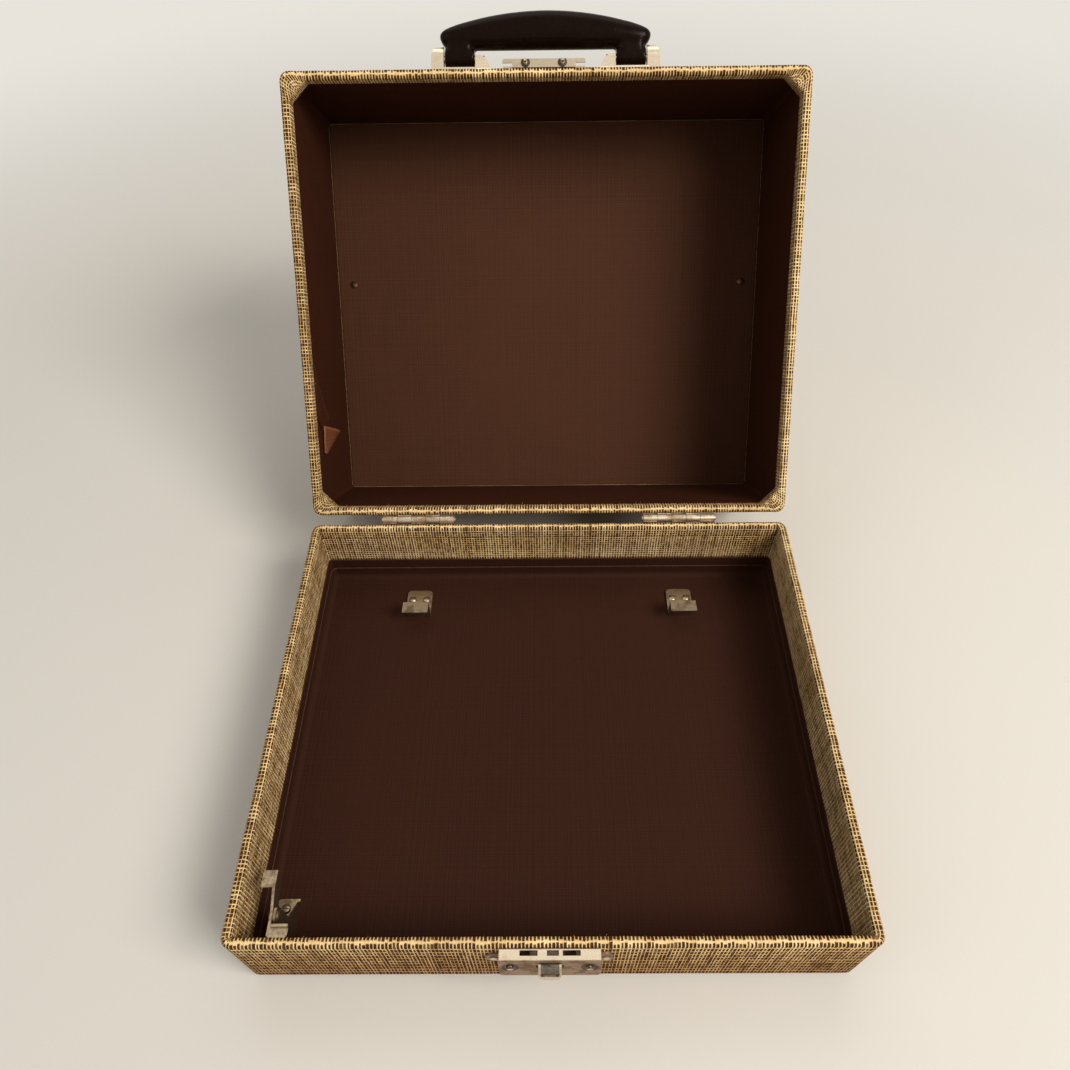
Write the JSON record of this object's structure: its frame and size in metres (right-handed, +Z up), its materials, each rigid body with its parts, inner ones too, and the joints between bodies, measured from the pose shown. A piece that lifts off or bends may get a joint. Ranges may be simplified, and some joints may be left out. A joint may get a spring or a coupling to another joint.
{
  "type": "typewriter case",
  "caption": "Tweed-covered carrying case: a low tray with a lock, a machine clamp and feet, and a deep hinged lid with a hasp and a folding handle, shown open.",
  "frame": {"origin": "on the resting plane, under the middle of the whole open case, about at the hinges", "axes": "+X to the right seen from the lock side, +Y from the lock to the hinges, +Z up"},
  "size_m": [0.334, 0.5532, 0.3066],
  "materials": {
    "tweed": "coated tweed cloth, cream with brown flecks",
    "dark_lining": "fine woven dark red-brown lining",
    "board": "bare thin plywood",
    "under_cloth": "dark coated cloth",
    "nickel": "worn polished nickel",
    "steel": "plain steel, slightly aged",
    "handle": "satin dark brown moulding"
  },
  "bodies": {
    "tray": {"bottom_feet": "nickel", "bottom_foot_screws": "steel", "clamp_bracket": "steel", "clamp_pivot_rivet": "steel", "clamp_screws": "steel", "left_hinge_pin": "nickel", "left_hinge_tray_leaf": "nickel", "left_rear_hook": "steel", "lock_back_plate": "nickel", "lock_case": "nickel", "lock_ear_rivets": "nickel", "lock_front_plate": "nickel", "lock_front_rivets": "nickel", "rear_hook_screws": "steel", "right_hinge_pin": "nickel", "right_hinge_tray_leaf": "nickel", "right_rear_hook": "steel", "tray_back_board": "board", "tray_back_feet": "nickel", "tray_back_foot_screws": "steel", "tray_bottom_board": "board", "tray_floor_lining": "dark_lining", "tray_front_board": "board", "tray_hinge_rivets": "nickel", "tray_inner_tweed": "tweed", "tray_left_board": "board", "tray_right_board": "board", "tray_skirt_lining": "dark_lining", "tray_tweed_cover": "tweed", "tray_under_cloth": "under_cloth"},
    "lid": {"handle_bracket_rivets": "nickel", "hasp_plate": "nickel", "hasp_rivets": "nickel", "hasp_studs": "nickel", "left_handle_bracket": "nickel", "left_handle_pin": "nickel", "left_hinge_lid_leaf": "nickel", "lid_back_board": "board", "lid_back_feet": "nickel", "lid_back_foot_screws": "steel", "lid_front_board": "board", "lid_hinge_rivets": "nickel", "lid_left_board": "board", "lid_panel_lining": "dark_lining", "lid_panel_tacks": "nickel", "lid_right_board": "board", "lid_top_board": "board", "lid_tweed_cover": "tweed", "lid_wall_lining": "dark_lining", "right_handle_bracket": "nickel", "right_handle_pin": "nickel", "right_hinge_lid_leaf": "nickel"},
    "handle": {"handle_grip": "handle"},
    "lock_slide": {"lock_slide_plate": "steel", "lock_thumb_slide": "nickel"},
    "clamp": {"clamp_lever": "steel"}
  },
  "joints": [
    {"name": "lid_hinge", "type": "hinge", "parent": "tray", "child": "lid", "pos_m": [0, 0.01964, 0.0632], "axis": [1, 0, 0], "range_deg": [0, 127.32]},
    {"name": "handle_swing", "type": "hinge", "parent": "lid", "child": "handle", "pos_m": [0, 0.22518, 0.28298], "axis": [1, 0, 0], "range_deg": [-75, 75]},
    {"name": "lock_slide_travel", "type": "slide", "parent": "tray", "child": "lock_slide", "axis": [1, 0, 0], "range_m": [0, 0.0025]},
    {"name": "clamp_lever_turn", "type": "hinge", "parent": "tray", "child": "clamp", "pos_m": [-0.147, -0.24576, 0.047], "axis": [1, 0, 0], "range_deg": [-40, 0]}
  ]
}
